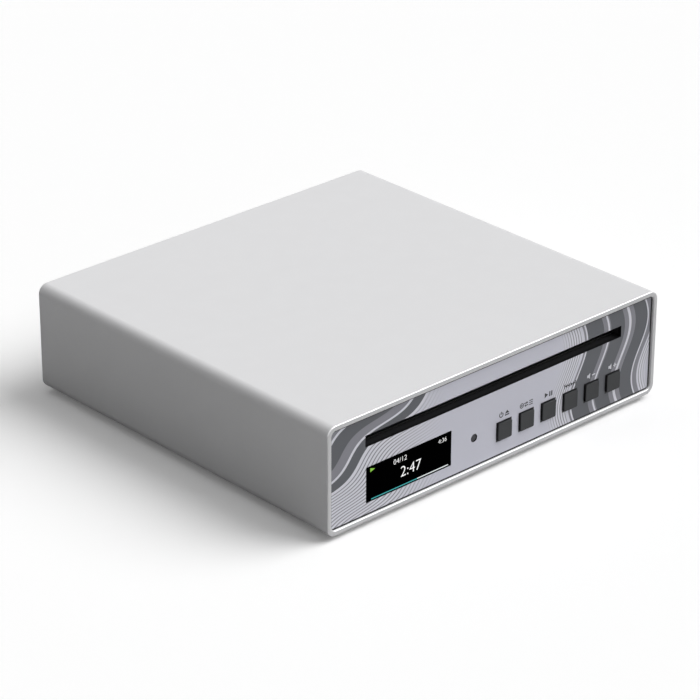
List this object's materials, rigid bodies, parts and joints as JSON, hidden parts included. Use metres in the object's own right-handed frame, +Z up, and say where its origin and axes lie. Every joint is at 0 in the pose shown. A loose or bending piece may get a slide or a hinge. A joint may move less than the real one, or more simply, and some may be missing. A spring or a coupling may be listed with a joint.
{
  "type": "slot loading disc player",
  "caption": "Flat desktop disc player with a front disc slot, display window and push keys in a one-piece extruded sleeve; a roller-fed drive plays the disc.",
  "frame": {"origin": "under the middle of the footprint, jacks included, on the plane that the feet rest on", "axes": "+X to the right as seen from the front, +Y to the rear, +Z up"},
  "size_m": [0.168, 0.169, 0.045],
  "materials": {
    "sleeve_aluminium": "satin",
    "printed_panel": "satin print",
    "black_plastic": "fine moulded",
    "window_glass": "polished black",
    "eye_plastic": "smoked",
    "screen_glass": "matte",
    "key_paint": "satin paint",
    "felt": "felt",
    "rear_paint": "powder coat",
    "circuit_board": "solder mask",
    "chip_resin": "moulded",
    "socket_nylon": "moulded",
    "ribbon_film": "film",
    "zinc_steel": "zinc plated",
    "black_screw": "black zinc",
    "turned_brass": "turned",
    "gold_plate": "gold plated",
    "white_insulator": "moulded",
    "red_insulator": "moulded",
    "orange_insulator": "moulded",
    "rubber": "moulded",
    "damper_rubber": "soft",
    "gear_plastic": "acetal",
    "motor_steel": "drawn can",
    "lens_glass": "polished",
    "sled_casting": "die cast"
  },
  "bodies": {
    "case": {"housing_sleeve": "sleeve_aluminium", "feet": "rubber", "foot_screws": "zinc_steel", "front_panel": "printed_panel", "front_frame": "black_plastic", "case_screws": "black_screw", "dust_felts": "felt", "display_window": "window_glass", "display_screen": "screen_glass", "remote_eye": "eye_plastic", "key_switches": "black_plastic", "key_board": "circuit_board", "rear_panel": "rear_paint", "jack_block": "black_plastic", "jack_shells": "gold_plate", "insulator_rca_left": "white_insulator", "insulator_rca_right": "red_insulator", "insulator_coax": "orange_insulator", "optical_socket": "black_plastic", "usb_socket": "zinc_steel", "usb_tongue": "black_plastic", "main_board": "circuit_board", "mounting_posts": "turned_brass", "drive_dampers": "damper_rubber", "inner_screws": "zinc_steel", "servo_board": "circuit_board", "board_chips": "chip_resin", "board_sockets": "socket_nylon", "ribbon_cables": "ribbon_film", "drive_base": "zinc_steel", "drive_cover": "zinc_steel", "disc_guide": "black_plastic", "loading_motor": "motor_steel", "drive_belt": "rubber"},
    "key_power": {"key_power": "key_paint"},
    "key_source": {"key_source": "key_paint"},
    "key_play": {"key_play": "key_paint"},
    "key_skip": {"key_skip": "key_paint"},
    "key_volume_down": {"key_volume_down": "key_paint"},
    "key_volume_up": {"key_volume_up": "key_paint"},
    "roller_arm": {"roller_arm": "zinc_steel"},
    "feed_roller": {"roller_shaft": "zinc_steel", "feed_roller": "rubber", "roller_gear": "gear_plastic"},
    "idler_gear": {"idler_gear": "gear_plastic"},
    "motor_pulley": {"motor_pulley": "gear_plastic"},
    "traverse": {"traverse_frame": "zinc_steel", "guide_rods": "zinc_steel", "spindle_motor": "motor_steel", "sled_motor": "motor_steel"},
    "turntable": {"turntable": "black_plastic"},
    "pickup_sled": {"pickup_sled": "sled_casting"},
    "pickup_lens": {"pickup_lens": "lens_glass"},
    "lead_screw": {"lead_screw": "zinc_steel"},
    "lift_slider_left": {"lift_slider_left": "gear_plastic"},
    "lift_slider_right": {"lift_slider_right": "gear_plastic"},
    "clamp_arm": {"clamp_arm": "zinc_steel"},
    "clamper": {"clamper": "black_plastic"},
    "optical_shutter": {"optical_shutter": "black_plastic"}
  },
  "joints": [
    {"name": "key_power_press", "type": "slide", "parent": "case", "child": "key_power", "axis": [0, 1, 0], "range_m": [0, 0.0005], "stiffness_N_per_m": 400, "springref_m": -0.001},
    {"name": "key_source_press", "type": "slide", "parent": "case", "child": "key_source", "axis": [0, 1, 0], "range_m": [0, 0.0005], "stiffness_N_per_m": 400, "springref_m": -0.001},
    {"name": "key_play_press", "type": "slide", "parent": "case", "child": "key_play", "axis": [0, 1, 0], "range_m": [0, 0.0005], "stiffness_N_per_m": 400, "springref_m": -0.001},
    {"name": "key_skip_press", "type": "slide", "parent": "case", "child": "key_skip", "axis": [0, 1, 0], "range_m": [0, 0.0005], "stiffness_N_per_m": 400, "springref_m": -0.001},
    {"name": "key_volume_down_press", "type": "slide", "parent": "case", "child": "key_volume_down", "axis": [0, 1, 0], "range_m": [0, 0.0005], "stiffness_N_per_m": 400, "springref_m": -0.001},
    {"name": "key_volume_up_press", "type": "slide", "parent": "case", "child": "key_volume_up", "axis": [0, 1, 0], "range_m": [0, 0.0005], "stiffness_N_per_m": 400, "springref_m": -0.001},
    {"name": "traverse_lift", "type": "slide", "parent": "case", "child": "traverse", "axis": [0, 0, 1], "range_m": [0, 0.004]},
    {"name": "slider_left_slide", "type": "slide", "parent": "case", "child": "lift_slider_left", "axis": [0, 1, 0], "range_m": [0, 0.012]},
    {"name": "slider_right_slide", "type": "slide", "parent": "case", "child": "lift_slider_right", "axis": [0, 1, 0], "range_m": [0, 0.012]},
    {"name": "clamp_swing", "type": "hinge", "parent": "case", "child": "clamp_arm", "pos_m": [0, 0.0495, 0.0395], "axis": [1, 0, 0], "range_deg": [0, 1.7]},
    {"name": "roller_arm_swing", "type": "hinge", "parent": "case", "child": "roller_arm", "pos_m": [0, -0.0505, 0.0215], "axis": [1, 0, 0], "range_deg": [0, 10]},
    {"name": "roller_spin", "type": "hinge", "parent": "roller_arm", "child": "feed_roller", "pos_m": [0, -0.0645, 0.0294], "axis": [1, 0, 0], "continuous": true},
    {"name": "idler_spin", "type": "hinge", "parent": "case", "child": "idler_gear", "pos_m": [0.0692, -0.06131, 0.03506], "axis": [1, 0, 0], "continuous": true},
    {"name": "motor_spin", "type": "hinge", "parent": "case", "child": "motor_pulley", "pos_m": [0.0721, -0.0395, 0.021], "axis": [1, 0, 0], "continuous": true},
    {"name": "turntable_spin", "type": "hinge", "parent": "traverse", "child": "turntable", "pos_m": [0, -0.0065, 0.0287], "axis": [0, 0, 1], "continuous": true},
    {"name": "clamper_spin", "type": "hinge", "parent": "clamp_arm", "child": "clamper", "pos_m": [0, -0.0065, 0.03575], "axis": [0, 0, 1], "continuous": true},
    {"name": "sled_slide", "type": "slide", "parent": "traverse", "child": "pickup_sled", "axis": [-1, 0, 0], "range_m": [0, 0.033]},
    {"name": "lead_screw_turn", "type": "hinge", "parent": "traverse", "child": "lead_screw", "pos_m": [0, 0.016, 0.0249], "axis": [1, 0, 0], "range_deg": [0, 3960]},
    {"name": "lens_focus", "type": "slide", "parent": "pickup_sled", "child": "pickup_lens", "axis": [0, 0, 1], "range_m": [-0.0004, 0.0004], "stiffness_N_per_m": 40},
    {"name": "optical_shutter_swing", "type": "hinge", "parent": "case", "child": "optical_shutter", "pos_m": [-0.002, 0.0738, 0.0198], "axis": [-1, 0, 0], "range_deg": [0, 80], "stiffness_Nm_per_rad": 0.0004, "springref_deg": -28.65}
  ],
  "couplings": [
    {"joint": "slider_left_slide", "follows": "traverse_lift", "ratio": 3},
    {"joint": "slider_right_slide", "follows": "traverse_lift", "ratio": 3},
    {"joint": "clamp_swing", "follows": "traverse_lift", "rad_per_m": 7.417},
    {"joint": "roller_arm_swing", "follows": "traverse_lift", "rad_per_m": 43.633},
    {"joint": "idler_spin", "follows": "roller_spin", "ratio": -1.1667},
    {"joint": "motor_spin", "follows": "roller_spin", "ratio": -1.9444},
    {"joint": "lead_screw_turn", "follows": "sled_slide", "rad_per_m": 2094.4}
  ]
}
